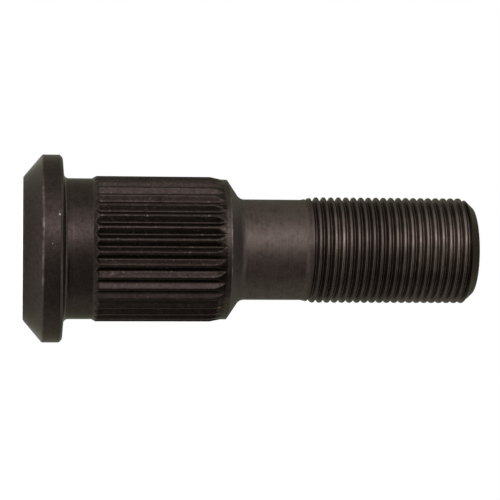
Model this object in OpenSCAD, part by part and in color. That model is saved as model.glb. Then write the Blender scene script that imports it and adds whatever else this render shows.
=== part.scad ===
// Wheel stud with a round chamfered head, a serrated press-in neck and a threaded end.
// It stands on its head. The origin is the centre of the head's outer face, and +Z runs
// along the stud towards its tip. Sizes are in millimetres and angles in degrees.

/* [Head] */
// Diameter of the head's rim
head_d = 44.2; // [40:0.1:60]
// Diameter of the flat outer face
face_d = 33.6; // [20:0.1:38]
// Height of the chamfer between the outer face and the rim
face_chamfer_h = 4.45; // [2:0.05:5]
// Height from the outer face to the foot of the neck
head_h = 9.6; // [8:0.1:16]
// Fall of the head's underside towards the rim
under_draft = 5; // [0:0.5:8]
// Bevel at the rim's upper edge
rim_bevel = 0.7; // [0.3:0.1:1.2]
// Rounding of the rim's lower edge
rim_round = 0.6; // [0.2:0.1:1.2]
// Rounding of the outer face's edge
face_round = 0.5; // [0.2:0.1:1]
// Fillet between the head and the neck
neck_fillet = 1.1; // [0.5:0.1:1.5]

/* [Neck] */
// Diameter of the plain neck under the head
neck_d = 33.2; // [30:0.1:33.7]
// Length of the plain neck
neck_len = 6.5; // [3:0.1:15]

/* [Serrations] */
// Diameter over the serration crests
serration_d = 34.35; // [34:0.05:36]
// Length from the plain neck to the smooth band
serration_len = 30.6; // [15:0.1:60]
// Number of grooves round the neck
groove_count = 36; // [18:1:37]
// Depth of a groove below the crests
groove_depth = 1.2; // [0.8:0.05:1.25]
// Angle between the two flanks of a groove
groove_angle = 95; // [50:1:98]
// Length of the lead-in cone up to the crests
lead_in_len = 1; // [0.5:0.1:2]
// Climb of the groove root at the head end
run_in_angle = 40; // [15:1:45]
// Climb of the groove root at the shoulder end
run_out_angle = 24; // [12:1:45]
// Length over which the crests fall to the smooth band
crest_taper_len = 2.8; // [1:0.1:5]

/* [Shoulder and shank] */
// Diameter of the smooth band above the serrations
band_d = 33.2; // [30:0.1:33.6]
// Length of the smooth band
band_len = 1.2; // [0.5:0.1:5]
// Angle of the shoulder, measured from the stud's axis
shoulder_angle = 56; // [35:1:75]
// Fillet between the shoulder and the shank
shank_fillet = 2.2; // [0.5:0.1:3]
// Diameter of the plain shank
shank_d = 23.9; // [18:0.1:24.8]
// Length of the plain shank, from the foot of the shoulder to the thread
shank_len = 14.7; // [4:0.1:60]

/* [Thread] */
// Major diameter of the thread
thread_d = 25.2; // [25:0.1:28]
// Pitch of the thread
thread_pitch = 1.8143; // [1.4:0.0001:2.2]
// Length of the threaded end
thread_len = 41.4; // [15:0.1:80]
// Length of the cone where the thread runs out into the shank
thread_run_out = 3; // [1.5:0.1:4]
// Diameter of the flat face at the tip
tip_d = 20.9; // [16:0.1:23]
// Height of the chamfer at the tip
tip_chamfer_h = 2.3; // [1:0.1:4]
// Rounding of the edges at the tip
tip_round = 0.3; // [0.1:0.05:0.6]

/* [Hidden] */

$fn = 96;
steel = [0.2, 0.17, 0.16];
arc_steps = 6;
soft_edge = 0.3;

head_r = head_d / 2;
face_r = face_d / 2;
neck_r = neck_d / 2;
crest_r = serration_d / 2;
band_r = band_d / 2;
shank_r = shank_d / 2;
thread_r = thread_d / 2;
tip_r = tip_d / 2;
root_r = crest_r - groove_depth;

serration_z = head_h + neck_len;
band_z = serration_z + serration_len;
shoulder_z = band_z + band_len;
groove_len = shoulder_z - serration_z;
shoulder_h = (band_r - shank_r) / tan(shoulder_angle);
shank_z = shoulder_z + shoulder_h;
thread_z = shank_z + shank_len;
tip_z = thread_z + thread_len;

// The underside falls from the neck towards the rim, and a bevel breaks its outer edge.
under_edge_r = head_r - rim_bevel;
under_edge_z = head_h - (under_edge_r - neck_r) * tan(under_draft);

// Section of the thread: 60 degrees between its flanks, and a crest of an eighth of the pitch.
// Its grooves are rings at the thread's pitch, with no helix, which suits either hand.
thread_flank = 30;
thread_depth = 0.6134 * thread_pitch;
thread_crest = thread_pitch / 8;
thread_root = thread_pitch - thread_crest - 2 * thread_depth * tan(thread_flank);
thread_root_r = thread_r - thread_depth;
first_ring_z = thread_z + thread_run_out - thread_crest;
ring_count = floor((tip_z - first_ring_z) / thread_pitch);

// Corners of the turned outline from the outer face to the tip: radius, height, rounding.
corners = [
    [face_r, 0, face_round],
    [head_r, face_chamfer_h, rim_round],
    [head_r, under_edge_z - rim_bevel, soft_edge],
    [under_edge_r, under_edge_z, rim_bevel],
    [neck_r, head_h, neck_fillet],
    [neck_r, serration_z, soft_edge],
    [crest_r, serration_z + lead_in_len, 0],
    [crest_r, band_z - crest_taper_len, 0],
    [band_r, band_z, 0],
    [band_r, shoulder_z, soft_edge],
    [shank_r, shank_z, shank_fillet],
    [shank_r, thread_z, 0],
    [thread_r, thread_z + thread_run_out, 0],
    [thread_r, tip_z - tip_chamfer_h, tip_round],
    [tip_r, tip_z, tip_round]
];

function unit(v) = v / norm(v);

// Points of the arc that rounds the corner at b, between its neighbours a and c.
function rounded_corner(a, b, c, radius) =
    let (
        u = unit(a - b),
        v = unit(c - b),
        half = acos(u * v) / 2,
        centre = b + unit(u + v) * radius / sin(half),
        from = b + u * radius / tan(half) - centre,
        to = b + v * radius / tan(half) - centre,
        start = atan2(from[1], from[0]),
        turn = atan2(from[0] * to[1] - from[1] * to[0], from * to)
    )
    [for (i = [0 : arc_steps])
        centre + radius * [cos(start + turn * i / arc_steps), sin(start + turn * i / arc_steps)]];

function point(corner) = [corner[0], corner[1]];

// Outline with every corner that has a rounding replaced by its arc.
function outline(list) =
    let (last = len(list) - 1)
    [for (i = [0 : last])
        let (
            a = i == 0 ? [0, 0] : point(list[i - 1]),
            b = point(list[i]),
            c = i == last ? [0, b[1]] : point(list[i + 1])
        )
        each list[i][2] > 0 ? rounded_corner(a, b, c, list[i][2]) : [b]];

// Section of one groove of the thread, at its own height and open towards the outside.
module thread_groove() {
    outer_r = 2 * thread_r;
    half_root = thread_root / 2;
    half_outer = half_root + (outer_r - thread_root_r) * tan(thread_flank);
    polygon([
        [thread_root_r, -half_root],
        [outer_r, -half_outer],
        [outer_r, half_outer],
        [thread_root_r, half_root]
    ]);
}

// The stud with its thread, before the serrations are rolled in.
module turned_blank() {
    rotate_extrude()
        difference() {
            polygon(concat([[0, 0]], outline(corners), [[0, tip_z]]));
            for (i = [0 : ring_count])
                translate([0, first_ring_z + i * thread_pitch])
                    thread_groove();
        }
}

// V-shaped bar whose root line passes through the point (root, 0, height) and leans outwards.
// It runs from below that point to above it, measured along the root line.
module v_bar(root, height, lean, below, above) {
    reach = 2 * groove_len;
    half_width = reach * tan(groove_angle / 2) / cos(lean);
    translate([root, 0, height])
        rotate([0, lean, 0])
            translate([0, 0, -below])
                linear_extrude(height = below + above)
                    polygon([[0, 0], [reach, -half_width], [reach, half_width]]);
}

// Space of one groove. Three V-shaped bars meet in it, so its root climbs out to a point
// at each end: over the foot of the lead-in cone, and below the shoulder's edge.
module groove() {
    far = 2 * groove_len;
    intersection() {
        v_bar(root_r, serration_z, 0, 0, groove_len);
        v_bar(crest_r, serration_z, -run_in_angle, far, far);
        v_bar(crest_r, shoulder_z, run_out_angle, far, far);
    }
}

module wheel_stud() {
    pitch_angle = 360 / groove_count;
    color(steel)
        difference() {
            turned_blank();
            for (i = [0 : groove_count - 1])
                rotate([0, 0, (i + 0.5) * pitch_angle])
                    groove();
        }
}

wheel_stud();
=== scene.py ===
import math
from typing import NamedTuple

import bpy
from mathutils import Matrix, Vector


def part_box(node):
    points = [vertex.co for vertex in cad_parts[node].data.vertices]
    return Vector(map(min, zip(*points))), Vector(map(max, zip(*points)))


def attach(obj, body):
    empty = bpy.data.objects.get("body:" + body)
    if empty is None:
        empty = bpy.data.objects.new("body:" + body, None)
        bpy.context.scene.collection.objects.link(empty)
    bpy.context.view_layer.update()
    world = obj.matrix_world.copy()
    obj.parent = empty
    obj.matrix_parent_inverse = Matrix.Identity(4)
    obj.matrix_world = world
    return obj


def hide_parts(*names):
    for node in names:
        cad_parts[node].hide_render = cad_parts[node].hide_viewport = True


bl_info = {
    "name": "Wheel stud",
    "version": (1, 0, 0),
    "blender": (4, 5, 0),
    "location": "3D View > Sidebar > Wheel Stud",
    "description": "Rolls serrations and a thread into a turned stud and sets up its studio",
    "category": "Object",
}

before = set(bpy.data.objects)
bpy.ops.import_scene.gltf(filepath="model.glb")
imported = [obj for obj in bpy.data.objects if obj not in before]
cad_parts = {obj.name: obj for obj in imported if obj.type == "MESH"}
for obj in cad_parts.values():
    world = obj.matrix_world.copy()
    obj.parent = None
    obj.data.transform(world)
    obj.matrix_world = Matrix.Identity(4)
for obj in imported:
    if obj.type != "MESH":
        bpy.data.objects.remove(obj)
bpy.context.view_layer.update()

NODE = "wheel_stud"
BODY = "root"
MM = 0.001
BOX_LOW, BOX_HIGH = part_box(NODE)
HEAD_RADIUS = (BOX_HIGH.x - BOX_LOW.x) / 2
STUD_HEIGHT = BOX_HIGH.z


def length(name, description, millimetres):
    """A length property whose default is given in millimetres."""
    return bpy.props.FloatProperty(
        name=name, description=description, default=millimetres * MM, unit="LENGTH", precision=5)


def angle(name, description, degrees):
    """An angle property whose default is given in degrees."""
    return bpy.props.FloatProperty(
        name=name, description=description, default=math.radians(degrees), subtype="ANGLE")


def number(name, description, default):
    return bpy.props.FloatProperty(name=name, description=description, default=default)


def count(name, description, default):
    return bpy.props.IntProperty(name=name, description=description, default=default, min=1)


def colour(name, description, default):
    return bpy.props.FloatVectorProperty(
        name=name, description=description, default=default, size=3, subtype="COLOR")


class TurnedForm(bpy.types.PropertyGroup):
    """Sizes of the stud as it is turned, before anything is rolled into it."""

    face_radius: length("Face radius", "Radius of the flat outer face", 16.8)
    face_chamfer: length("Face chamfer", "Height of the chamfer below the rim", 4.45)
    head_height: length("Head height", "Height of the neck's foot", 9.6)
    under_draft: angle("Underside draft", "Fall of the head's underside towards the rim", 5)
    rim_bevel: length("Rim bevel", "Bevel at the rim's upper edge", 0.7)
    rim_round: length("Rim rounding", "Rounding of the rim's lower edge", 0.6)
    face_round: length("Face rounding", "Rounding of the outer face's edge", 0.5)
    neck_fillet: length("Neck fillet", "Fillet between the head and the neck", 1.1)
    neck_radius: length("Neck radius", "Radius of the plain neck", 16.6)
    neck_length: length("Neck length", "Length of the plain neck", 6.5)
    crest_radius: length("Crest radius", "Radius over the serration crests", 17.175)
    serration_length: length("Serration length", "From the plain neck to the band", 30.6)
    lead_in: length("Lead-in", "Length of the cone up to the crests", 1)
    crest_taper: length("Crest taper", "Length over which the crests fall", 2.8)
    band_radius: length("Band radius", "Radius of the smooth band", 16.6)
    band_length: length("Band length", "Length of the smooth band", 1.2)
    shoulder_angle: angle("Shoulder angle", "Angle of the shoulder from the axis", 56)
    shank_fillet: length("Shank fillet", "Fillet between the shoulder and the shank", 2.2)
    shank_radius: length("Shank radius", "Radius of the plain shank", 11.95)
    shank_length: length("Shank length", "From the shoulder's foot to the thread", 14.7)
    thread_radius: length("Thread radius", "Major radius of the thread", 12.6)
    run_out: length("Run-out", "Length of the cone before the thread", 3)
    tip_radius: length("Tip radius", "Radius of the flat face at the tip", 10.45)
    tip_chamfer: length("Tip chamfer", "Height of the chamfer at the tip", 2.3)
    tip_round: length("Tip rounding", "Rounding of the edges at the tip", 0.3)
    soft_edge: length("Soft edge", "Rounding of an edge that is left as turned", 0.3)


class RolledForm(bpy.types.PropertyGroup):
    """Sizes of the serrations and the thread that are rolled into the blank."""

    grooves: count("Grooves", "Number of grooves round the neck", 36)
    groove_depth: length("Groove depth", "Depth of a groove below the crests", 1.2)
    groove_angle: angle("Groove angle", "Angle between the flanks of a groove", 95)
    run_in_angle: angle("Run-in angle", "Climb of a groove's root at the head end", 40)
    run_out_angle: angle("Run-out angle", "Climb of a groove's root at the shoulder end", 24)
    edge_soften: length("Edge softening", "Rounding of the serrations' crests", 0.16)
    valley_soften: length("Valley softening", "Rounding of the serrations' roots", 0.8)
    waver: length("Waver", "How far a flank strays from its plane", 0.05)
    pitch: length("Pitch", "Pitch of the thread", 1.8143)
    turn: bpy.props.IntProperty(
        name="Turn", description="1 for right-hand, -1 for left-hand", default=-1)
    crest_height: length("Crest height", "Height of one crest at the stud's -X side", 69.4)
    flank_angle: angle("Flank angle", "Angle between the flanks of the thread", 60)
    crest_share: number("Crest share", "Width of the thread's crest, per pitch", 0.24)
    root_share: number("Root share", "Height of the root above its flanks' apex, per pitch", 0.1)
    root_start: length("Root start", "From the end of the shank to the first thread root", 0.9)
    root_fall: length("Root fall", "Length over which the first root sinks", 1.6)
    crest_soften: length("Crest softening", "Rounding of the thread's crest", 0.22)
    root_soften: length("Root softening", "Rounding of the thread's root", 0.3)


class Finish(bpy.types.PropertyGroup):
    """Colours of the phosphated steel, some of which also carry painted highlight, reflection and shade."""

    coat: colour("Coat", "Phosphate coat with its film of oil", (0.0405, 0.0306, 0.0274))
    # Also painted shade on the tip's chamfer, in the thread's roots and in the serrations' grooves.
    coat_dark: colour("Dark coat", "Where the coat is thick or dirty", (0.018, 0.012, 0.0085))
    # Also a painted reflection that lightens the neck's fillet.
    coat_light: colour("Light coat", "Where the coat is thin", (0.115, 0.089, 0.08))
    # On the chamfer and the shoulder partly a painted reflection that lightens them.
    coat_grey: colour("Grey coat", "Where the coat is dry and without oil", (0.095, 0.081, 0.075))
    # Also a painted highlight on ridges and edges on the side towards the lamp.
    polished: colour("Polished coat", "Where the coat is rubbed smooth on edges", (0.17, 0.14, 0.125))
    # Also a painted highlight on the thread's crests on the side towards the lamp.
    crest: colour("Thread crest", "Where nuts have rubbed the crests", (0.195, 0.156, 0.135))
    steel: colour("Steel", "Steel that shows through in nicks", (0.42, 0.36, 0.33))
    rust: colour("Rust", "Spot of rust", (0.32, 0.12, 0.03))
    edge_tint: colour("Edge tint", "Reflection at a grazing angle", (0.7, 0.7, 0.64))


class Studio(bpy.types.PropertyGroup):
    """Camera and stage."""

    lens: number("Lens", "Focal length of the camera in millimetres", 144)
    distance: length("Distance", "From the camera to the stud's axis", 476)
    aim_height: length("Aim height", "Height of the middle of the frame", 53.73)
    aim_side: length("Aim offset", "Sideways place of the frame's middle", 0.09)
    turn: angle("Turn", "Turn of camera and lights towards -X", 3)
    lean: angle("Lean", "How far the camera looks up along the stud", 6.45)
    roll: angle("Roll", "Turn of the frame from the stud's axis", 0.315)
    floor_size: length("Floor size", "Width of the floor", 4000)
    floor_colour: colour("Floor colour", "Pale floor", (0.86, 0.86, 0.86))
    floor_lift: number("Floor lift", "Light added to the floor where it is seen", 0.65)
    close_lift: number("Close lift", "Share of that light in what the steel mirrors", 0.8)
    key_turn: angle("Key turn", "Turn of the lamp from the camera, towards -X", 28)
    key_distance: length("Key distance", "From the stud's axis to the lamp", 750)
    key_base: length("Key base", "Height of the lamp's lower edge", 20)
    key_width: length("Key width", "Width of the soft lamp", 260)
    key_tall: length("Key tallness", "Height of the lamp itself", 700)
    key_power: number("Key power", "Power of the soft lamp in watts", 1.45)
    key_colour: colour("Key colour", "Light of the soft lamp", (0.97, 0.96, 1))
    wall_radius: length("Wall radius", "Radius of the round studio wall", 1100)
    wall_height: length("Wall height", "Height of the studio wall", 1100)
    wall_colour: colour("Wall colour", "Light of the studio wall", (0.5, 0.53, 0.47))
    ceiling_colour: colour("Ceiling colour", "Light of the ceiling", (0.9, 0.92, 0.88))
    glow_turn: angle("Glow turn", "Turn from the camera, towards -X", 33)
    glow_spread: angle("Glow spread", "Half the width of the bright wall", 27)
    glow_colour: colour("Glow colour", "Light of the bright wall", (0.88, 0.86, 0.89))
    flag_turn: angle("Flag turn", "Turn from the camera, towards +X", 44)
    flag_spread: angle("Flag spread", "Half the width of the black flag", 38)
    flag_colour: colour("Flag colour", "Light of the black flag", (0.05, 0.034, 0.022))
    mirror_close: length("Mirror close", "Radius in which the steel mirrors a lit floor", 60)
    mirror_far: length("Mirror far", "Reach of the mirrored bright wall over the floor", 600)
    mirror_light: number("Mirror light", "Light of the mirrored bright wall", 2)


def operator(operation, reflected=False):
    """A method of Value that adds a Math node."""
    def method(self, other):
        terms = (other, self) if reflected else (self, other)
        return self.graph.math(operation, *terms)
    return method


class Value:
    """A node's output that takes part in Python arithmetic, which adds Math nodes."""

    def __init__(self, graph, socket):
        self.graph = graph
        self.socket = socket

    __add__ = __radd__ = operator("ADD")
    __sub__ = operator("SUBTRACT")
    __rsub__ = operator("SUBTRACT", reflected=True)
    __mul__ = __rmul__ = operator("MULTIPLY")
    __truediv__ = operator("DIVIDE")
    __rtruediv__ = operator("DIVIDE", reflected=True)


class Graph:
    """Adds nodes to a tree."""

    def __init__(self, tree):
        self.tree = tree
        tree.nodes.clear()

    def node(self, kind, settings=None, inputs=None):
        """A new node. Its settings are set first, then its sockets by name or number."""
        made = self.tree.nodes.new(kind)
        for name, value in (settings or {}).items():
            setattr(made, name, value)
        for key, value in (inputs or {}).items():
            if isinstance(value, Value):
                self.tree.links.new(value.socket, made.inputs[key])
            else:
                made.inputs[key].default_value = value
        return made

    def value(self, kind, settings=None, inputs=None, output=0):
        """One output of a new node."""
        return Value(self, self.node(kind, settings, inputs).outputs[output])

    def math(self, operation, *terms):
        return self.value("ShaderNodeMath", {"operation": operation}, dict(enumerate(terms)))

    def largest(self, most, *others):
        for other in others:
            most = self.math("MAXIMUM", most, other)
        return most

    def smooth_step(self, value, low, high):
        """0 below low, 1 above high and smooth in between."""
        return self.value(
            "ShaderNodeMapRange", {"interpolation_type": "SMOOTHSTEP"},
            {"Value": value, "From Min": low, "From Max": high})

    def mix(self, factor, first, second):
        """A colour between two that are each a colour or a node's output."""
        first, second = (c if isinstance(c, Value) else (*c, 1) for c in (first, second))
        return self.value(
            "ShaderNodeMix", {"data_type": "RGBA"}, {"Factor": factor, "A": first, "B": second}, "Result")

    def zone(self, value, low, high, soft):
        """1 between low and high, with soft edges."""
        return (self.smooth_step(value, low - soft, low + soft)
                * (1 - self.smooth_step(value, high - soft, high + soft)))


class Place:
    """Where a shaded point lies: its height, and its radius and turn round the stud's axis."""

    def __init__(self, graph):
        self.point = graph.value("ShaderNodeTexCoord", None, None, "Object")
        split = graph.node("ShaderNodeSeparateXYZ", None, {0: self.point})
        x, y, self.height = (Value(graph, split.outputs[i]) for i in range(3))
        self.radius = graph.math("POWER", x * x + y * y, 0.5)
        # The turn goes from -Y towards +X.
        self.turn = graph.math("ARCTAN2", x, -1 * y)


def new_material(name):
    """A material and the graph of its nodes."""
    material = bpy.data.materials.new(name)
    material.use_nodes = True
    return material, Graph(material.node_tree)


def at_least(least, value):
    """A value from 0 to 1, squeezed to run from the least one to 1."""
    return least + (1 - least) * value


def rounded_corner(before, corner, after, radius, steps):
    """Points of the arc that rounds a corner of the outline."""
    to_before = (before - corner).normalized()
    to_after = (after - corner).normalized()
    half = to_before.angle(to_after) / 2
    centre = corner + (to_before + to_after).normalized() * radius / math.sin(half)
    first = corner + to_before * radius / math.tan(half) - centre
    last = corner + to_after * radius / math.tan(half) - centre
    turn = math.atan2(first.x * last.y - first.y * last.x, first.dot(last))
    return [centre + Matrix.Rotation(turn * i / steps, 2) @ first for i in range(steps + 1)]


class Outline:
    """The turned outline of the stud: radius and height of each of its rows."""

    ARC_STEPS = 5
    # A stretch above this length gets a row in its middle and one this far from each end
    LONG = 0.8 * MM
    SUPPORT = 0.12 * MM

    def __init__(self, form):
        self.neck_z = form.head_height
        self.serration_z = self.neck_z + form.neck_length
        self.band_z = self.serration_z + form.serration_length
        self.shoulder_z = self.band_z + form.band_length
        shoulder_height = (form.band_radius - form.shank_radius) / math.tan(form.shoulder_angle)
        self.shank_z = self.shoulder_z + shoulder_height
        self.thread_z = self.shank_z + form.shank_length
        self.tip_z = STUD_HEIGHT
        self.rows = self.supported(self.corners(form))

    def corners(self, form):
        """Corners from the outer face to the tip, each with its rounding."""
        under_radius = HEAD_RADIUS - form.rim_bevel
        under_z = self.neck_z - (under_radius - form.neck_radius) * math.tan(form.under_draft)
        crest_z = self.serration_z + form.lead_in
        return [
            (0, 0, 0),
            (form.face_radius, 0, form.face_round),
            (HEAD_RADIUS, form.face_chamfer, form.rim_round),
            (HEAD_RADIUS, under_z - form.rim_bevel, form.soft_edge),
            (under_radius, under_z, form.rim_bevel),
            (form.neck_radius, self.neck_z, form.neck_fillet),
            (form.neck_radius, self.serration_z, form.soft_edge),
            (form.crest_radius, crest_z, 0),
            (form.crest_radius, self.band_z - form.crest_taper, 0),
            (form.band_radius, self.band_z, 0),
            (form.band_radius, self.shoulder_z, form.soft_edge),
            (form.shank_radius, self.shank_z, form.shank_fillet),
            (form.shank_radius, self.thread_z, 0),
            (form.thread_radius, self.thread_z + form.run_out, 0),
            (form.thread_radius, self.tip_z - form.tip_chamfer, form.tip_round),
            (form.tip_radius, self.tip_z, form.tip_round),
            (0, self.tip_z, 0),
        ]

    def supported(self, corners):
        """The outline with its arcs, and with rows close to the ends of each long stretch."""
        points = [Vector(c[:2]) for c in corners]
        line = [points[0]]
        for i in range(1, len(corners) - 1):
            radius = corners[i][2]
            if radius:
                line += rounded_corner(*points[i - 1:i + 2], radius, self.ARC_STEPS)
            else:
                line.append(points[i])
        line.append(points[-1])
        rows = [line[0]]
        for before, after in zip(line, line[1:]):
            step = after - before
            if step.length > self.LONG:
                near = self.SUPPORT / step.length
                rows += [before + step * share for share in (near, 0.5, 1 - near)]
            rows.append(after)
        return rows

    def radius_at(self, height):
        """Radius of the outline's side at a height above its foot."""
        for before, after in zip(self.rows, self.rows[1:]):
            if before.y <= height <= after.y and after.y > before.y:
                return before.x + (after.x - before.x) * (height - before.y) / (after.y - before.y)
        return self.rows[-1].x


class Blank:
    """The turned blank as a closed mesh, with rows where the rolls will press into it."""

    COARSE_PER_GROOVE = 4
    # Columns from the middle of a groove, as shares of half the way to the next groove
    FINE_COLUMNS = (-1, -0.92, -0.87, -0.82, -0.72, -0.48, -0.26, -0.12,
                    0, 0.12, 0.26, 0.48, 0.72, 0.82, 0.87, 0.92)
    # The column on the edge of a deep groove, and the least place it has on a shallow one
    FULL_EDGE = 0.82
    LEAST_EDGE = 0.15 * FULL_EDGE
    # How far the fine rings keep from their ends, and how far past the lead-in they stay close
    FOOT_GAP = 0.1 * MM
    TOP_GAP = 0.2 * MM
    RUN_IN_REACH = 1 * MM
    # Steps between the fine rings in millimetres: on the lead-in cone, where the grooves get
    # deep, at full depth, where the crests fall, and on the band
    RING_STEPS = (0.12, 0.15, 1.5, 0.2, 0.3)
    # Rows of the thread from the middle of a root, as shares of the pitch
    PITCH_ROWS = (-0.455, -0.42, -0.385, -0.35, -0.316, -0.155, -0.105, -0.055,
                  0, 0.055, 0.105, 0.155, 0.316, 0.35, 0.385, 0.42, 0.455, 0.5)
    # How far below the shoulder's edge, and below the tip, the coarse rings start again
    SHOULDER_REACH = 0.4 * MM
    TIP_REACH = 0.85 * MM
    # Rows that are closer than this to another one are left out
    SNAP = 0.03 * MM

    def __init__(self, form, rolled):
        self.form = form
        self.rolled = rolled
        self.outline = Outline(form)
        self.groove_step = 2 * math.pi / rolled.grooves
        self.columns = self.COARSE_PER_GROOVE * rolled.grooves
        self.points = []
        self.faces = []

    def point(self, radius, turn, height):
        self.points.append((radius * math.cos(turn), radius * math.sin(turn), height))
        return len(self.points) - 1

    def ring(self, radius, height):
        """A coarse ring of points. Its first column lies on a crest of the serrations."""
        return [self.point(radius, 2 * math.pi * j / self.columns, height) for j in range(self.columns)]

    def rings(self, low, high):
        """Coarse rings on the rows of the outline from a low height to a high one."""
        return [self.ring(row.x, row.y) for row in self.outline.rows if row.x > 0 and low <= row.y <= high]

    def face(self, *corners):
        """A face of the corners that differ, in the order in which they are given."""
        kept = [c for i, c in enumerate(corners) if c != corners[i - 1]]
        if len(set(kept)) == len(kept) > 2:
            self.faces.append(kept)

    def stack(self, rings):
        """Faces between each ring and the next one, which has as many points."""
        for low, high in zip(rings, rings[1:]):
            for j in range(len(low)):
                k = (j + 1) % len(low)
                self.face(low[j], low[k], high[k], high[j])

    def root_radius(self, height):
        """Radius of a groove's root, which climbs out at both ends."""
        rolled, crest = self.rolled, self.form.crest_radius
        run_in = crest - (height - self.outline.serration_z) * math.tan(rolled.run_in_angle)
        run_out = crest - (self.outline.shoulder_z - height) * math.tan(rolled.run_out_angle)
        return max(crest - rolled.groove_depth, run_in, run_out)

    def groove_edge(self, height):
        """Place of a groove's edge from its middle, as a share like those of the columns."""
        flank = self.rolled.groove_angle / 2
        share = min(1, self.root_radius(height) / self.outline.radius_at(height))
        return (flank - math.asin(share * math.sin(flank))) / (self.groove_step / 2)

    def fine_ring(self, height):
        """A fine ring whose columns follow the edges of the grooves."""
        edge = max(self.groove_edge(height), self.LEAST_EDGE)
        inner = edge / self.FULL_EDGE
        outer = (1 - edge) / (1 - self.FULL_EDGE)
        radius = self.outline.radius_at(height)
        ring = []
        for i in range(self.rolled.grooves):
            middle = (i + 0.5) * self.groove_step
            for column in self.FINE_COLUMNS:
                share = abs(column)
                share = share * inner if share <= self.FULL_EDGE else 1 - (1 - share) * outer
                turn = middle + math.copysign(share, column) * self.groove_step / 2
                ring.append(self.point(radius, turn, height))
        return ring

    def widened(self, ring):
        """A coarse ring with each point repeated, so that it meets a fine one."""
        repeats = len(self.FINE_COLUMNS) // self.COARSE_PER_GROOVE
        return [point for point in ring for _ in range(repeats)]

    def serration_heights(self):
        """Heights of the fine rings, which are close where a groove's root climbs out."""
        outline, form = self.outline, self.form
        lead_in_top = outline.serration_z + form.lead_in
        ends = (lead_in_top, lead_in_top + self.RUN_IN_REACH, outline.band_z - form.crest_taper,
                outline.band_z, outline.shoulder_z - form.soft_edge - self.TOP_GAP)
        heights = [outline.serration_z + self.FOOT_GAP]
        for end, step in zip(ends, self.RING_STEPS):
            start = heights[-1]
            steps = max(1, round((end - start) / (step * MM)))
            heights += [start + (end - start) * i / steps for i in range(1, steps + 1)]
        return heights[:-1]

    def helix(self, low_ring, high_ring, low, high):
        """Faces between two rings whose rows follow the thread's helix."""
        pitch, turn = self.rolled.pitch, self.rolled.turn
        per_pitch = len(self.PITCH_ROWS)
        # At the -X side a root lies half a pitch above the crest, and the first column,
        # at the +X side, is half a turn back from there.
        first_root = self.rolled.crest_height - turn * pitch / 2 + pitch / 2
        start = math.floor((low - first_root) / pitch) - 1
        stop = math.ceil((high - first_root) / pitch) + 2
        levels = [first_root + (n + share) * pitch
                  for n in range(start, stop) for share in self.PITCH_ROWS]

        def on_helix(level, j):
            height = level + turn * pitch * j / self.columns
            if height < low + self.SNAP:
                return low_ring[j]
            if height > high - self.SNAP:
                return high_ring[j]
            return self.point(self.outline.radius_at(height), 2 * math.pi * j / self.columns, height)

        table = [[on_helix(level, j) for j in range(self.columns)] for level in levels]

        def cell(i, j):
            """A point of the table, where the last column meets the first a pitch further on."""
            if j == self.columns:
                return cell(i + turn * per_pitch, 0)
            if i < 0:
                return low_ring[j]
            if i >= len(table):
                return high_ring[j]
            return table[i][j]

        for i in range(-1 - per_pitch, len(table) + per_pitch):
            for j in range(self.columns):
                self.face(cell(i, j), cell(i, j + 1), cell(i + 1, j + 1), cell(i + 1, j))

    def build(self):
        """The closed mesh of the blank, from the middle of its face to that of its tip."""
        outline = self.outline
        thread_top = outline.tip_z - self.TIP_REACH
        head = [[self.point(0, 0, 0)] * self.columns]
        head += self.rings(-self.SNAP, outline.serration_z - self.SNAP)
        neck = [self.fine_ring(height) for height in self.serration_heights()]
        shank = self.rings(outline.shoulder_z - self.SHOULDER_REACH, outline.thread_z - self.SNAP)
        shank.append(self.ring(self.form.shank_radius, outline.thread_z))
        tip = [self.ring(outline.radius_at(thread_top), thread_top)]
        tip += self.rings(thread_top + self.SNAP, outline.tip_z + self.SNAP)
        tip.append([self.point(0, 0, outline.tip_z)] * self.columns)
        self.stack(head)
        self.stack([self.widened(head[-1]), *neck, self.widened(shank[0])])
        self.stack(shank)
        self.helix(shank[-1], tip[0], outline.thread_z, thread_top)
        self.stack(tip)
        mesh = bpy.data.meshes.new("stud_blank")
        mesh.from_pydata(self.points, [], self.faces)
        mesh.validate()
        return mesh


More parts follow.
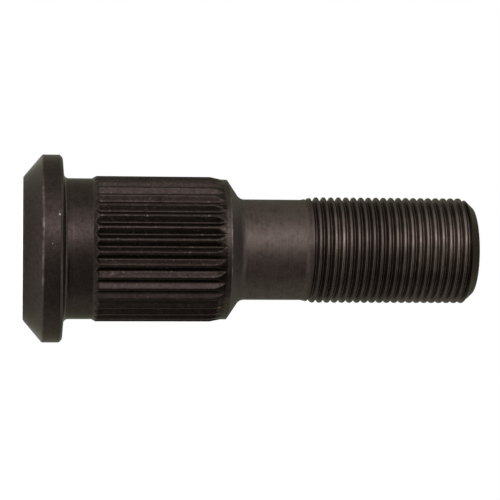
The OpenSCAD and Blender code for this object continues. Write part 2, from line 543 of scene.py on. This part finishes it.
class RollingTree:
    """Geometry Nodes that press the serrations and the thread into the blank."""

    # Turns added to the thread's phase, which keep it above zero
    SPARE_TURNS = 100
    # Stands in for the radius of a point on the axis, which can't be divided by
    LEAST_RADIUS = 1e-6

    def __init__(self, form, rolled, outline, material):
        self.tree = bpy.data.node_groups.new("roll serrations and thread", "GeometryNodeTree")
        self.graph = Graph(self.tree)
        self.defaults = {}
        self.tree.interface.new_socket("Blank", in_out="INPUT", socket_type="NodeSocketGeometry")
        sizes = {
            "Groove Count": rolled.grooves,
            "Crest Radius": form.crest_radius,
            "Groove Depth": rolled.groove_depth,
            "Half Groove Angle": rolled.groove_angle / 2,
            "Run-in Slope": math.tan(rolled.run_in_angle),
            "Run-out Slope": math.tan(rolled.run_out_angle),
            "Serration Foot": outline.serration_z,
            "Shoulder Height": outline.shoulder_z,
            "Edge Softening": rolled.edge_soften,
            "Valley Softening": rolled.valley_soften,
            "Waver": rolled.waver,
            "Pitch": rolled.pitch,
            "Turn": rolled.turn,
            "Crest Height": rolled.crest_height,
            "Flank Slope": 1 / math.tan(rolled.flank_angle / 2),
            "Crest Share": rolled.crest_share,
            "Root Share": rolled.root_share,
            "Thread Radius": form.thread_radius,
            "Thread Foot": outline.thread_z + rolled.root_start,
            "Shank Radius": form.shank_radius,
            "Root Fall": rolled.root_fall,
            "Crest Softening": rolled.crest_soften,
            "Root Softening": rolled.root_soften,
        }
        for name, value in sizes.items():
            socket = self.tree.interface.new_socket(name, in_out="INPUT", socket_type="NodeSocketFloat")
            self.defaults[socket.identifier] = float(value)
        self.tree.interface.new_socket("Stud", in_out="OUTPUT", socket_type="NodeSocketGeometry")
        self.inputs = self.graph.node("NodeGroupInput")
        self.build(material)

    def size(self, name):
        return Value(self.graph, self.inputs.outputs[name])

    def groove_radius(self, around, height):
        """Radius of a groove's two flanks, which meet in a rounded root."""
        graph, size = self.graph, self.size
        step = 2 * math.pi / size("Groove Count")
        away = graph.math("FLOORED_MODULO", around, step) - step / 2
        crest = size("Crest Radius")
        run_in = crest - (height - size("Serration Foot")) * size("Run-in Slope")
        run_out = crest - (size("Shoulder Height") - height) * size("Run-out Slope")
        root = graph.largest(crest - size("Groove Depth"), run_in, run_out)
        flank = size("Half Groove Angle")
        sine = root * graph.math("SINE", flank)
        return graph.math(
            "SMOOTH_MAX", sine / graph.math("SINE", flank - away), sine / graph.math("SINE", flank + away),
            size("Valley Softening") * graph.math("MINIMUM", (crest - root) / size("Groove Depth"), 1))

    def thread_radius(self, around, height):
        """Radius of the thread's nearest groove, whose root sinks from the shank at the foot."""
        graph, size = self.graph, self.size
        pitch = size("Pitch")
        turns = size("Turn") * (around - math.pi) / (2 * math.pi)
        phase = graph.math(
            "FRACT", (height - size("Crest Height")) / pitch - turns + self.SPARE_TURNS)
        away = graph.math("ABSOLUTE", phase - 0.5) * pitch
        slope = size("Flank Slope")
        apex = size("Thread Radius") - (0.5 - size("Crest Share") / 2) * pitch * slope
        root = apex + size("Root Share") * pitch
        sunk = graph.math("MINIMUM", (height - size("Thread Foot")) / size("Root Fall"), 1)
        floor = size("Shank Radius") + (root - size("Shank Radius")) * sunk
        return graph.math("SMOOTH_MAX", apex + away * slope, floor, size("Root Softening"))

    def build(self, material):
        graph, size = self.graph, self.size
        place = graph.value("GeometryNodeInputPosition")
        split = graph.node("ShaderNodeSeparateXYZ", None, {0: place})
        x, y, height = (Value(graph, split.outputs[i]) for i in range(3))
        around = graph.math("ARCTAN2", y, x)
        radius = graph.math("POWER", x * x + y * y, 0.5)
        between = graph.math("GREATER_THAN", height, size("Serration Foot")) * graph.math(
            "LESS_THAN", height, size("Shoulder Height"))
        stray = graph.value(
            "ShaderNodeTexNoise", None, {"Vector": place, "Scale": 420, "Detail": 2}, "Fac")
        groove = self.groove_radius(around, height) + (stray - 0.5) * size("Waver")
        grooved = graph.math("SMOOTH_MIN", radius, groove, size("Edge Softening"))
        threaded = graph.math(
            "SMOOTH_MIN", radius, self.thread_radius(around, height), size("Crest Softening"))
        on_thread = graph.math("GREATER_THAN", height, size("Thread Foot"))
        rolled = radius + between * (grooved - radius) + on_thread * (threaded - radius)
        share = rolled / graph.largest(radius, self.LEAST_RADIUS)
        moved = graph.value("ShaderNodeCombineXYZ", None, {0: x * share, 1: y * share, 2: height})
        shaped = graph.value("GeometryNodeSetPosition", None, {
            "Geometry": Value(graph, self.inputs.outputs["Blank"]), "Position": moved})
        marked = graph.value(
            "GeometryNodeStoreNamedAttribute", {"data_type": "FLOAT", "domain": "POINT"},
            {"Geometry": shaped, "Name": "pressed", "Value": (radius - rolled) / MM})
        smooth = graph.value("GeometryNodeSetShadeSmooth", None, {0: marked})
        real = graph.value("GeometryNodeRealizeInstances", None, {0: smooth})
        finished = graph.value("GeometryNodeSetMaterial", None, {"Geometry": real, "Material": material})
        graph.node("NodeGroupOutput", None, {0: finished})


class Mark(NamedTuple):
    """A mark on the steel: its turn in degrees from -Y towards +X, and the rest in millimetres."""

    turn: float
    radius: float
    height: float
    size: float


# Nicks and a spot of rust, as in the photo.
NICKS = (
    Mark(-12.7, 22.1, 7.2, 0.5), Mark(-23.5, 22.1, 8.3, 0.6), Mark(-25.2, 22.1, 8.4, 0.5),
    Mark(-6, 22.1, 6.6, 0.3), Mark(-18.8, 16.4, 48.1, 0.5), Mark(-14, 16.5, 48.1, 0.35),
    Mark(8.3, 17.1, 41.2, 0.4), Mark(52.6, 16.8, 37.1, 0.4), Mark(-29.4, 17.1, 28.3, 0.35),
    Mark(-11.1, 17.1, 21.5, 0.3), Mark(-18.1, 17.1, 26.1, 0.35), Mark(-0.6, 17.1, 38, 0.35),
    Mark(-20.6, 11.95, 66.7, 0.4),
)
RUST_SPOTS = (Mark(50.2, 16.9, 45.4, 0.65),)


class Steel:
    """Phosphated steel: mottled dark coat, turning marks, rubbed crests and a few nicks, with painted
    highlight on the lit side and painted shade in grooves and roots.
    """

    # Depths in millimetres over which the look changes
    CREST_DEPTHS = (0.05, 0.4)
    RIDGE_DEPTHS = (0.04, 0.2)
    ROOT_DEPTHS = (0.3, 1)
    GROOVE_DEPTHS = (0.7, 1.05)
    # Shares of a mark's size where it starts to fade and where it ends
    MARK_FADE, MARK_END = 0.25, 0.6
    # Edges of the side towards the lamp and their softness, in degrees from -Y towards +X; there crests,
    # ridges and edges get a painted highlight besides their wear
    RUBBED_SIDE = (-46, 22, 9)
    # Part of the turned look on the smooth band
    BAND_TURNED = 0.4
    # Least wear of the thread along it, away from the lit side (on which the crest colour is also a painted
    # highlight) and in patches
    THREAD_PLAIN, THREAD_FAR, THREAD_PATCH = 0.4, 0.25, 0.5
    # Wear of the ridges all round, and a painted highlight on the lit side
    RIDGE_WEAR, RIDGE_SIDE_WEAR = 0.25, 0.35
    # Wear of the rim's top, and least wear of the edges away from the lit side, where they also carry a
    # painted highlight, and in patches
    RIM_TOP_WEAR, EDGE_FAR, EDGE_PATCH = 0.3, 0.12, 0.2
    # Shares of the light coat; the fillet's share is a painted reflection that lightens it
    BLOTCH_LIGHT, GRAIN_LIGHT, MOTTLE_LIGHT = 0.12, 0.2, 0.12
    NECK_LIGHT, THREAD_LIGHT, FILLET_LIGHT = 0.25, 0.25, 0.8
    TURNED_LIGHT, MARK_LIGHT, CLOUD_LIGHT = 0.3, 0.6, 0.7
    # Shares of the grey coat, which on the chamfer and the shoulder is partly a painted reflection
    CHAMFER_GREY, SHOULDER_GREY = 0.14, 0.65
    # Shares of the dark coat; on the tip's chamfer, in the thread's roots and in the serrations' grooves it
    # is painted shade
    CLOUD_DARK, TIP_DARK, SCUFF_DARK, FLECK_DARK = 0.3, 0.95, 0.7, 0.6
    ROOT_DARK, GROOVE_DARK, SERRATION_DARK = 0.15, 0.9, 0.25
    MOTTLE_DARK, TURNED_MOTTLE_DARK = 0.35, 0.15
    # Shares of bare steel in the nicks and of rust in its spots
    NICK_STEEL, SPOT_RUST = 0.6, 0.8
    # Roughness of the coat, what each place adds to it, and what rubbing takes off
    COAT_ROUGH, GRAIN_ROUGH, THREAD_ROUGH, ROOT_ROUGH = 0.3, 0.12, 0.08, 0.1
    TURNED_ROUGH, SHOULDER_ROUGH, RUBBED_OFF = 0.13, 0.2, 0.1
    # Heights of the bumps as shares of those of the grain
    MOTTLE_BUMP, MARK_BUMP, NECK_MARK_BUMP = 1.3, 1.2, 0.72

    def __init__(self, finish, form, outline):
        self.material, self.graph = new_material("phosphated_steel")
        self.finish = finish
        self.place = Place(self.graph)
        self.pressed = self.graph.value(
            "ShaderNodeAttribute", {"attribute_name": "pressed"}, None, "Fac")
        self.grain = self.noise(scale=2600, detail=3, roughness=0.7)
        self.mottle = self.noise(scale=1100, detail=4, roughness=0.7)
        self.flecks = self.noise(scale=5200, detail=1, roughness=0.5)
        self.marks = self.noise(scale=1, detail=3, roughness=0.65, squeeze=(40, 40, 4600))
        self.find_places(form, outline)
        self.find_wear(form, outline)
        bumped = self.graph.value(
            "ShaderNodeBump", None, {"Strength": 0.35, "Distance": 0.03 * MM, "Height": self.bumps()})
        shader = self.graph.value("ShaderNodeBsdfPrincipled", None, {
            "Base Color": self.colour(),
            "Roughness": self.roughness(),
            "Metallic": 1,
            "Specular Tint": (*finish.edge_tint, 1),
            "Normal": bumped,
        })
        self.graph.node("ShaderNodeOutputMaterial", None, {"Surface": shader})

    def noise(self, scale, detail, roughness=0.6, squeeze=None):
        """A noise over the stud, finer along an axis with a larger squeeze."""
        point = self.place.point
        if squeeze:
            point = self.graph.value("ShaderNodeMapping", None, {"Vector": point, "Scale": squeeze})
        return self.graph.value(
            "ShaderNodeTexNoise", None,
            {"Vector": point, "Scale": scale, "Detail": detail, "Roughness": roughness}, "Fac")

    def patches(self, low, high, **noise):
        """Patches of a noise: 0 where it is below low and 1 where it is above high."""
        return self.graph.smooth_step(self.noise(**noise), low, high)

    def belt(self, low, high, soft):
        """1 between two heights, with soft ends."""
        return self.graph.zone(self.place.height, low, high, soft)

    def spots(self, marks):
        """1 inside each of the marks."""
        inside = 0
        for mark in marks:
            turn = math.radians(mark.turn)
            middle = Vector((mark.radius * math.sin(turn), -mark.radius * math.cos(turn), mark.height))
            away = self.graph.value(
                "ShaderNodeVectorMath", {"operation": "DISTANCE"},
                {0: self.place.point, 1: middle * MM}, "Value")
            size = mark.size * MM
            mask = 1 - self.graph.smooth_step(away, self.MARK_FADE * size, self.MARK_END * size)
            inside = self.graph.largest(inside, mask)
        return inside

    def find_places(self, form, outline):
        """The parts of the stud that look different: 1 on each part and 0 off it."""
        step, height, belt = self.graph.smooth_step, self.place.height, self.belt
        chamfer, neck, thread = form.face_chamfer, outline.neck_z, outline.thread_z
        self.on_chamfer = 1 - step(height, chamfer - 0.3 * MM, chamfer + 0.1 * MM)
        self.on_fillet = belt(neck - 0.1 * MM, neck + 0.3 * MM, soft=0.15 * MM)
        self.on_neck_foot = belt(neck + 0.6 * MM, neck + 2.8 * MM, soft=0.4 * MM)
        self.on_serrations = belt(outline.serration_z + 0.6 * MM, outline.band_z, soft=0.3 * MM)
        self.on_shoulder = belt(outline.shoulder_z, outline.shank_z, soft=0.1 * MM)
        on_band = belt(outline.band_z, outline.shoulder_z, soft=0.2 * MM)
        on_shank = belt(outline.shank_z, thread + 1 * MM, soft=0.6 * MM)
        self.turned = self.graph.largest(on_band * self.BAND_TURNED, on_shank)
        tip_chamfer = outline.tip_z - form.tip_chamfer
        past_thread = step(height, tip_chamfer - 0.3 * MM, tip_chamfer)
        self.on_thread = step(height, thread + 1 * MM, thread + 2 * MM) * (1 - past_thread)
        self.in_root = step(self.pressed, *self.ROOT_DEPTHS) * self.on_thread
        self.on_tip = past_thread * step(
            self.place.radius, form.tip_radius - 0.6 * MM, form.tip_radius)
        # The side towards the lamp, on which crests, ridges and edges are made lighter as a painted
        # highlight.
        self.rubbed_side = self.graph.zone(
            self.place.turn, *(math.radians(degrees) for degrees in self.RUBBED_SIDE))

    def find_wear(self, form, outline):
        """Where the coat is rubbed, scuffed and nicked, and where crests, ridges and edges on the lit side
        get a painted highlight.
        """
        graph, belt, patches = self.graph, self.belt, self.patches
        step, height = graph.smooth_step, self.place.height
        chamfer, neck, band = form.face_chamfer, outline.neck_z, outline.band_z
        shoulder, thread = outline.shoulder_z, outline.thread_z
        worn = graph.largest(
            belt(thread + 6.5 * MM, thread + 10 * MM, soft=1 * MM),
            step(height, thread + 18 * MM, thread + 28 * MM))
        self.rubbed_thread = (
            self.on_thread * (1 - step(self.pressed, *self.CREST_DEPTHS))
            * at_least(self.THREAD_PLAIN, worn) * at_least(self.THREAD_FAR, self.rubbed_side)
            * at_least(self.THREAD_PATCH, patches(0.3, 0.7, scale=300, detail=3)))
        self.rubbed_ridge = (
            self.on_serrations * (1 - step(self.pressed, *self.RIDGE_DEPTHS))
            * (self.RIDGE_WEAR + self.RIDGE_SIDE_WEAR * self.rubbed_side)
            * patches(0.56, 0.7, scale=1300, detail=4, roughness=0.7))
        self.scuffs = (
            self.rubbed_side * belt(band - 2.5 * MM, band + 0.3 * MM, soft=0.8 * MM)
            * patches(0.52, 0.62, scale=1, detail=2, roughness=0.5, squeeze=(3000, 3000, 240)))

        rim_top = belt(neck - 1.6 * MM, neck, soft=0.2 * MM) * graph.zone(
            self.place.radius, HEAD_RADIUS - 0.7 * MM, HEAD_RADIUS - 0.15 * MM, soft=0.15 * MM)
        edges = graph.largest(
            belt(chamfer - 0.05 * MM, chamfer + 0.45 * MM, soft=0.15 * MM),
            self.RIM_TOP_WEAR * rim_top,
            belt(0, 0.3 * MM, soft=0.1 * MM),
            belt(shoulder - 0.15 * MM, shoulder + 0.15 * MM, soft=0.1 * MM))
        self.rubbed_edge = (
            edges * at_least(self.EDGE_FAR, self.rubbed_side)
            * at_least(self.EDGE_PATCH, patches(0.42, 0.7, scale=420, detail=4, roughness=0.7)))

        scattered = step(self.flecks, 0.74, 0.8) * patches(0.56, 0.66, scale=260, detail=2)
        placed = self.spots(NICKS) * patches(0.36, 0.5, scale=2200, detail=2)
        self.nicked = graph.largest(scattered, placed)

    def colour(self):
        """The coat from light to dark with its painted reflection and shade, then what is rubbed or painted
        as highlight, nicked and rusty on it.
        """
        graph, finish, patches, step = self.graph, self.finish, self.patches, self.graph.smooth_step
        turned_light = (
            self.TURNED_LIGHT + self.MARK_LIGHT * step(self.marks, 0.35, 0.75)
            + self.CLOUD_LIGHT * patches(0.3, 0.7, scale=520, detail=5, roughness=0.75))
        light = (
            self.BLOTCH_LIGHT * patches(0.3, 0.8, scale=150, detail=4)
            + self.GRAIN_LIGHT * step(self.grain, 0.4, 0.8)
            + self.MOTTLE_LIGHT * step(self.mottle, 0.45, 0.75)
            + self.NECK_LIGHT * self.on_neck_foot * step(self.marks, 0.5, 0.7)
            + self.THREAD_LIGHT * self.on_thread
            # Painted reflection: the neck's fillet is lightened where it mirrors the dark stud.
            + self.FILLET_LIGHT * self.on_fillet
            + self.turned * turned_light)
        # The grey coat on the chamfer and the shoulder is partly a painted reflection.
        grey = self.CHAMFER_GREY * self.on_chamfer + self.SHOULDER_GREY * self.on_shoulder
        dark = (
            self.CLOUD_DARK * patches(0.5, 0.8, scale=240, detail=4)
            # Painted shade: the tip's chamfer is darkened.
            + self.TIP_DARK * self.on_tip
            # Painted shade in the thread's roots.
            + self.ROOT_DARK * self.in_root
            # Painted shade in the bottoms of the serrations' grooves.
            + self.GROOVE_DARK * step(self.pressed, *self.GROOVE_DEPTHS) * self.on_serrations
            + self.SERRATION_DARK * self.on_serrations
            + self.SCUFF_DARK * self.scuffs
            + (1 - step(self.mottle, 0.32, 0.5)) * (
                self.MOTTLE_DARK + (self.TURNED_MOTTLE_DARK - self.MOTTLE_DARK) * self.turned)
            + self.FLECK_DARK * (1 - step(self.flecks, 0.24, 0.3)))
        colour = finish.coat
        for share, layer in (
                (light, finish.coat_light),
                (grey, finish.coat_grey),
                (dark, finish.coat_dark),
                (graph.largest(self.rubbed_ridge, self.rubbed_edge), finish.polished),
                (self.rubbed_thread, finish.crest),
                (self.NICK_STEEL * self.nicked, finish.steel),
                (self.SPOT_RUST * self.spots(RUST_SPOTS), finish.rust)):
            colour = graph.mix(share, colour, layer)
        return colour

    def roughness(self):
        rubbed = self.rubbed_ridge + self.rubbed_edge + self.rubbed_thread
        return (
            self.COAT_ROUGH + self.GRAIN_ROUGH * self.grain + self.THREAD_ROUGH * self.on_thread
            + self.ROOT_ROUGH * self.in_root + self.TURNED_ROUGH * self.turned
            + self.SHOULDER_ROUGH * self.on_shoulder - self.RUBBED_OFF * rubbed)

    def bumps(self):
        """Height of the grain, the mottling, the turning marks and the nicks."""
        marked = self.MARK_BUMP * self.turned + self.NECK_MARK_BUMP * self.on_neck_foot
        return self.grain + self.MOTTLE_BUMP * self.mottle + marked * self.marks - self.nicked


class STUD_OT_make_stud(bpy.types.Operator):
    """Makes the stud from its turned blank, with serrations, thread and finish"""

    bl_idname = "stud.make_stud"
    bl_label = "Make Stud"

    def execute(self, context):
        scene = context.scene
        form, rolled = scene.stud_turned, scene.stud_rolled
        blank = Blank(form, rolled)
        material = Steel(scene.stud_finish, form, blank.outline).material
        stud = bpy.data.objects.new("stud", blank.build())
        scene.collection.objects.link(stud)
        rolling = RollingTree(form, rolled, blank.outline, material)
        modifier = stud.modifiers.new("rolling", "NODES")
        modifier.node_group = rolling.tree
        for identifier, value in rolling.defaults.items():
            modifier[identifier] = value
        depsgraph = context.evaluated_depsgraph_get()
        mesh = bpy.data.meshes.new_from_object(
            stud.evaluated_get(depsgraph), preserve_all_data_layers=True, depsgraph=depsgraph)
        stud.modifiers.clear()
        mesh.materials.clear()
        mesh.materials.append(material)
        stud.data = mesh
        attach(stud, BODY)
        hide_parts(NODE)
        return {"FINISHED"}


def sector(graph, studio, turn, middle, spread):
    """1 in a sector of the studio whose middle is turned from the camera towards +X."""
    middle -= studio.turn
    return graph.zone(turn, middle - spread, middle + spread, soft=math.radians(8))


def reach(graph, away, edge):
    """1 round the stud's axis, fading out over the outer half of the way to an edge."""
    return 1 - graph.smooth_step(away, edge / 2, edge)


def floor_material(studio):
    """A pale floor with the shadow on it, which the steel sees lit or mirroring the bright wall."""
    material, graph = new_material("pale_floor")
    place = Place(graph)
    close = reach(graph, place.radius, studio.mirror_close)
    patch = reach(graph, place.radius, studio.mirror_far) * sector(
        graph, studio, place.turn, -studio.glow_turn, studio.glow_spread)
    path = graph.node("ShaderNodeLightPath")
    camera, glossy = (Value(graph, path.outputs[name]) for name in ("Is Camera Ray", "Is Glossy Ray"))
    matt = graph.value("ShaderNodeBsdfDiffuse", None, {"Color": (*studio.floor_colour, 1)})
    lift = graph.value("ShaderNodeEmission", None, {"Color": (1, 1, 1, 1), "Strength": studio.floor_lift})
    lifted = graph.value("ShaderNodeAddShader", None, {0: matt, 1: lift})
    seen = graph.largest(camera, studio.close_lift * glossy * close)
    floor = graph.value("ShaderNodeMixShader", None, {0: seen, 1: matt, 2: lifted})
    mirrored = graph.value(
        "ShaderNodeEmission", None, {"Color": (*studio.glow_colour, 1), "Strength": studio.mirror_light})
    floor = graph.value(
        "ShaderNodeMixShader", None, {0: glossy * patch * (1 - close), 1: floor, 2: mirrored})
    graph.node("ShaderNodeOutputMaterial", None, {"Surface": floor})
    return material


def wall_material(studio):
    """A studio wall with a bright part and a black flag, and a lit ceiling."""
    material, graph = new_material("studio_wall")
    place = Place(graph)
    flag = sector(graph, studio, place.turn, studio.flag_turn, studio.flag_spread)
    bright = sector(graph, studio, place.turn, -studio.glow_turn, studio.glow_spread)
    ceiling = graph.math("GREATER_THAN", place.height, studio.wall_height - 1 * MM)
    light = graph.mix(flag, studio.wall_colour, studio.flag_colour)
    light = graph.mix(bright, light, studio.glow_colour)
    light = graph.mix(ceiling, light, studio.ceiling_colour)
    lit = graph.value("ShaderNodeEmission", None, {"Color": light})
    graph.node("ShaderNodeOutputMaterial", None, {"Surface": lit})
    return material


def white_world(ambient):
    """Even light, and white behind whatever looks past the stud."""
    world = bpy.data.worlds.new("studio")
    world.use_nodes = True
    graph = Graph(world.node_tree)
    path = graph.node("ShaderNodeLightPath")
    rays = ("Is Camera Ray", "Is Glossy Ray", "Is Transmission Ray")
    seen = graph.largest(*(Value(graph, path.outputs[ray]) for ray in rays))
    shade = graph.value("ShaderNodeBackground", None, {"Color": (*ambient, 1)})
    white = graph.value("ShaderNodeBackground", None, {"Color": (1, 1, 1, 1)})
    both = graph.value("ShaderNodeMixShader", None, {0: seen, 1: shade, 2: white})
    graph.node("ShaderNodeOutputWorld", None, {"Surface": both})
    return world


def aim(obj, place, target, up):
    """Stands an object at a place, looking at a target, with its top towards up."""
    back = (Vector(place) - Vector(target)).normalized()
    right = Vector(up).cross(back).normalized()
    top = back.cross(right)
    obj.matrix_world = Matrix.Translation(place) @ Matrix((right, top, back)).transposed().to_4x4()


class STUD_OT_make_stage(bpy.types.Operator):
    """Makes the floor, the studio wall, the lamp, the white background and the camera"""

    bl_idname = "stud.make_stage"
    bl_label = "Make Stage"

    WALL_PANELS = 48

    def execute(self, context):
        scene = context.scene
        studio = scene.stud_studio
        for add in (self.add_floor, self.add_wall, self.add_key, self.add_camera):
            add(scene, studio)
        scene.world = white_world(studio.wall_colour)
        scene.view_settings.view_transform = "Standard"
        return {"FINISHED"}

    def add_stage_piece(self, scene, name, points, faces, material):
        mesh = bpy.data.meshes.new(name)
        mesh.from_pydata(points, [], faces)
        mesh.materials.append(material)
        piece = bpy.data.objects.new(name, mesh)
        scene.collection.objects.link(piece)
        return piece

    def add_floor(self, scene, studio):
        half = studio.floor_size / 2
        corners = [(-half, -half, 0), (half, -half, 0), (half, half, 0), (-half, half, 0)]
        self.add_stage_piece(scene, "floor", corners, [(0, 1, 2, 3)], floor_material(studio))

    def add_wall(self, scene, studio):
        """A round wall and its ceiling, which the steel reflects and the camera doesn't see."""
        panels, radius = self.WALL_PANELS, studio.wall_radius
        turns = [2 * math.pi * i / panels for i in range(panels)]
        points = [(radius * math.cos(turn), radius * math.sin(turn), height)
                  for height in (0, studio.wall_height) for turn in turns]
        faces = [(i, (i + 1) % panels, (i + 1) % panels + panels, i + panels) for i in range(panels)]
        faces.append(tuple(range(panels, 2 * panels)))
        wall = self.add_stage_piece(scene, "studio_wall", points, faces, wall_material(studio))
        wall.visible_camera = False

    def add_key(self, scene, studio):
        """A tall soft lamp beside the camera."""
        data = bpy.data.lights.new("key", "AREA")
        data.shape = "RECTANGLE"
        data.size = studio.key_width
        data.size_y = studio.key_tall
        data.energy = studio.key_power
        data.color = studio.key_colour
        lamp = bpy.data.objects.new("key", data)
        scene.collection.objects.link(lamp)
        turn = studio.turn + studio.key_turn
        height = studio.key_base + studio.key_tall / 2
        place = (-studio.key_distance * math.sin(turn), -studio.key_distance * math.cos(turn), height)
        aim(lamp, place, (0, 0, height), (0, 0, 1))

    def add_camera(self, scene, studio):
        """Looks along +Y with the stud's axis across the frame, and slightly up it."""
        data = bpy.data.cameras.new("camera")
        data.lens = studio.lens
        data.clip_start = 0.01
        data.clip_end = 20
        camera = bpy.data.objects.new("camera", data)
        scene.collection.objects.link(camera)
        turned = Matrix.Rotation(-studio.turn, 3, "Z")
        target = turned @ Vector((studio.aim_side, 0, studio.aim_height))
        forward = turned @ Vector((0, math.cos(studio.lean), math.sin(studio.lean)))
        right = turned @ Vector((0, -math.sin(studio.lean), math.cos(studio.lean)))
        up = turned @ Vector((-1, 0, 0))
        top = up * math.cos(studio.roll) - right * math.sin(studio.roll)
        aim(camera, target - forward * studio.distance, target, top)
        scene.camera = camera


class STUD_PT_panel(bpy.types.Panel):
    """Lists the stud's operators and sizes."""

    bl_label = "Wheel Stud"
    bl_idname = "STUD_PT_panel"
    bl_space_type = "VIEW_3D"
    bl_region_type = "UI"
    bl_category = "Wheel Stud"

    def draw(self, context):
        layout = self.layout
        scene = context.scene
        for operator in (STUD_OT_make_stud, STUD_OT_make_stage):
            layout.operator(operator.bl_idname)
        for group in (scene.stud_turned, scene.stud_rolled, scene.stud_finish, scene.stud_studio):
            for name in group.bl_rna.properties.keys():
                if name not in ("rna_type", "name"):
                    layout.prop(group, name)


CLASSES = (TurnedForm, RolledForm, Finish, Studio, STUD_OT_make_stud, STUD_OT_make_stage, STUD_PT_panel)
GROUPS = {"stud_turned": TurnedForm, "stud_rolled": RolledForm, "stud_finish": Finish, "stud_studio": Studio}


def register():
    for cls in CLASSES:
        bpy.utils.register_class(cls)
    for name, group in GROUPS.items():
        setattr(bpy.types.Scene, name, bpy.props.PointerProperty(type=group))


def unregister():
    for name in GROUPS:
        delattr(bpy.types.Scene, name)
    for cls in reversed(CLASSES):
        bpy.utils.unregister_class(cls)


def main():
    register()
    bpy.ops.stud.make_stud()
    bpy.ops.stud.make_stage()


if __name__ == "__main__":
    main()
